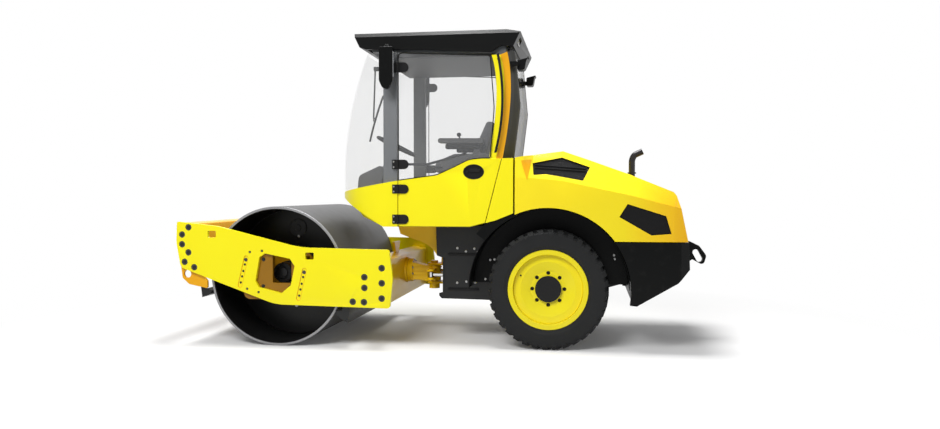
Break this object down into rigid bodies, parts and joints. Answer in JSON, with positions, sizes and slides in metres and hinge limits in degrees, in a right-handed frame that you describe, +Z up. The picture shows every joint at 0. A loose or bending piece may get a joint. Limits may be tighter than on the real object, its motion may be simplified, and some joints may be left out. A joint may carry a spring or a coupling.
{
  "type": "single-drum road roller",
  "caption": "Articulated single-drum road roller: smooth steel drum in an open frame, glazed cab, sloping bonnet and two driven rubber-tyred wheels.",
  "frame": {"origin": "on the ground, at the centre of the machine's length and width", "axes": "+X forward towards the drum, +Y to the machine's left, +Z up"},
  "size_m": [4.6453, 1.82, 2.775],
  "materials": {
    "drum_steel": "turned and worn rolling surface",
    "drum_paint": "dark satin paint",
    "black_rubber": "matte",
    "yellow_paint": "gloss lemon yellow paint",
    "bonnet_paint": "gloss yellow, a little warmer",
    "rim_paint": "gloss yellow",
    "black_paint": "satin black paint",
    "black_plastic": "grained",
    "grey_trim": "satin dark grey paint",
    "grey_plastic": "grained",
    "gloss_black": "moulded, glossy",
    "roof_black": "moulded, glossy",
    "chrome_rod": "polished",
    "engine_iron": "cast",
    "tyre_rubber": "moulded rubber",
    "cab_glass": "tinted",
    "seat_fabric": "woven",
    "grille_black": "meshed",
    "exhaust_steel": "heat-proof black paint"
  },
  "bodies": {
    "rear_frame": {"chassis": "black_paint", "neck": "yellow_paint", "rear_body": "black_paint", "fender_left": "black_plastic", "fender_right": "black_plastic", "rear_axle": "black_paint", "engine": "engine_iron", "cab_base": "yellow_paint", "cab_frame": "grey_trim", "roof": "roof_black", "lamps": "gloss_black", "windscreen": "cab_glass", "rear_window": "cab_glass", "seat_base": "grey_plastic", "seat_cushion": "seat_fabric", "seat_back": "seat_fabric", "dashboard": "grey_plastic", "steering_wheel": "black_plastic", "mirrors": "gloss_black", "grab_rails": "black_paint"},
    "yoke_body": {"yoke": "black_paint"},
    "drum_frame": {"side_plate_left": "yellow_paint", "side_plate_right": "yellow_paint", "front_beam": "yellow_paint", "rear_beam": "yellow_paint", "drum_mount_left": "yellow_paint", "drum_mount_right": "yellow_paint", "drum_motor_left": "black_paint", "drum_motor_right": "black_paint", "scrapers": "yellow_paint"},
    "drum": {"drum_shell": "drum_steel", "drum_heads": "drum_paint", "drum_buffers": "black_rubber"},
    "wheel_left_body": {"tyre_left": "tyre_rubber", "rim_left": "rim_paint", "hub_left": "black_paint"},
    "wheel_right_body": {"tyre_right": "tyre_rubber", "rim_right": "rim_paint", "hub_right": "black_paint"},
    "door_left_body": {"door_panel_left": "yellow_paint", "door_glass_left": "cab_glass", "door_fittings_left": "black_plastic"},
    "door_right_body": {"door_panel_right": "yellow_paint", "door_glass_right": "cab_glass", "door_fittings_right": "black_plastic"},
    "bonnet_body": {"bonnet": "bonnet_paint", "bonnet_grilles": "grille_black", "bonnet_hinges": "black_paint", "exhaust": "exhaust_steel"},
    "barrel_left_body": {"steer_barrel_left": "black_paint"},
    "barrel_right_body": {"steer_barrel_right": "black_paint"},
    "rod_left_body": {"steer_rod_left": "chrome_rod"},
    "rod_right_body": {"steer_rod_right": "chrome_rod"}
  },
  "joints": [
    {"name": "steer", "type": "hinge", "parent": "rear_frame", "child": "yoke_body", "pos_m": [0.186, 0, 0.576], "axis": [0, 0, 1], "range_deg": [-35, 35]},
    {"name": "frame_roll", "type": "hinge", "parent": "yoke_body", "child": "drum_frame", "pos_m": [0.43, 0, 0.601], "axis": [-1, 0, 0], "range_deg": [-12, 12]},
    {"name": "drum_spin", "type": "hinge", "parent": "drum_frame", "child": "drum", "pos_m": [1.42, 0, 0.6095], "axis": [0, 1, 0], "continuous": true},
    {"name": "wheel_left_spin", "type": "hinge", "parent": "rear_frame", "child": "wheel_left_body", "pos_m": [-0.93, 0.565, 0.513], "axis": [0, 1, 0], "continuous": true},
    {"name": "wheel_right_spin", "type": "hinge", "parent": "rear_frame", "child": "wheel_right_body", "pos_m": [-0.93, -0.565, 0.513], "axis": [0, 1, 0], "continuous": true},
    {"name": "door_left_hinge", "type": "hinge", "parent": "rear_frame", "child": "door_left_body", "pos_m": [0.382, 0.664, 1.5], "axis": [0, 0, -1], "range_deg": [0, 85]},
    {"name": "door_right_hinge", "type": "hinge", "parent": "rear_frame", "child": "door_right_body", "pos_m": [0.382, -0.664, 1.5], "axis": [0, 0, 1], "range_deg": [0, 85]},
    {"name": "bonnet_hinge", "type": "hinge", "parent": "rear_frame", "child": "bonnet_body", "pos_m": [-0.642, 0, 1.648], "axis": [0, 1, 0], "range_deg": [0, 50]},
    {"name": "barrel_left_swing", "type": "hinge", "parent": "rear_frame", "child": "barrel_left_body", "pos_m": [-0.4, 0.165, 0.576], "axis": [0, 0, 1], "range_deg": [-1, 1]},
    {"name": "rod_left_slide", "type": "slide", "parent": "barrel_left_body", "child": "rod_left_body", "axis": [0.9997, 0.0256, 0], "range_m": [-0.115, 0.115]},
    {"name": "barrel_right_swing", "type": "hinge", "parent": "rear_frame", "child": "barrel_right_body", "pos_m": [-0.4, -0.165, 0.576], "axis": [0, 0, 1], "range_deg": [-1, 1]},
    {"name": "rod_right_slide", "type": "slide", "parent": "barrel_right_body", "child": "rod_right_body", "axis": [0.9997, -0.0256, 0], "range_m": [-0.115, 0.115]}
  ],
  "couplings": [
    {"joint": "rod_left_slide", "follows": "steer", "m_per_rad": -0.1686},
    {"joint": "barrel_left_swing", "follows": "steer", "ratio": 0.008},
    {"joint": "rod_right_slide", "follows": "steer", "m_per_rad": 0.1686},
    {"joint": "barrel_right_swing", "follows": "steer", "ratio": 0.008}
  ]
}
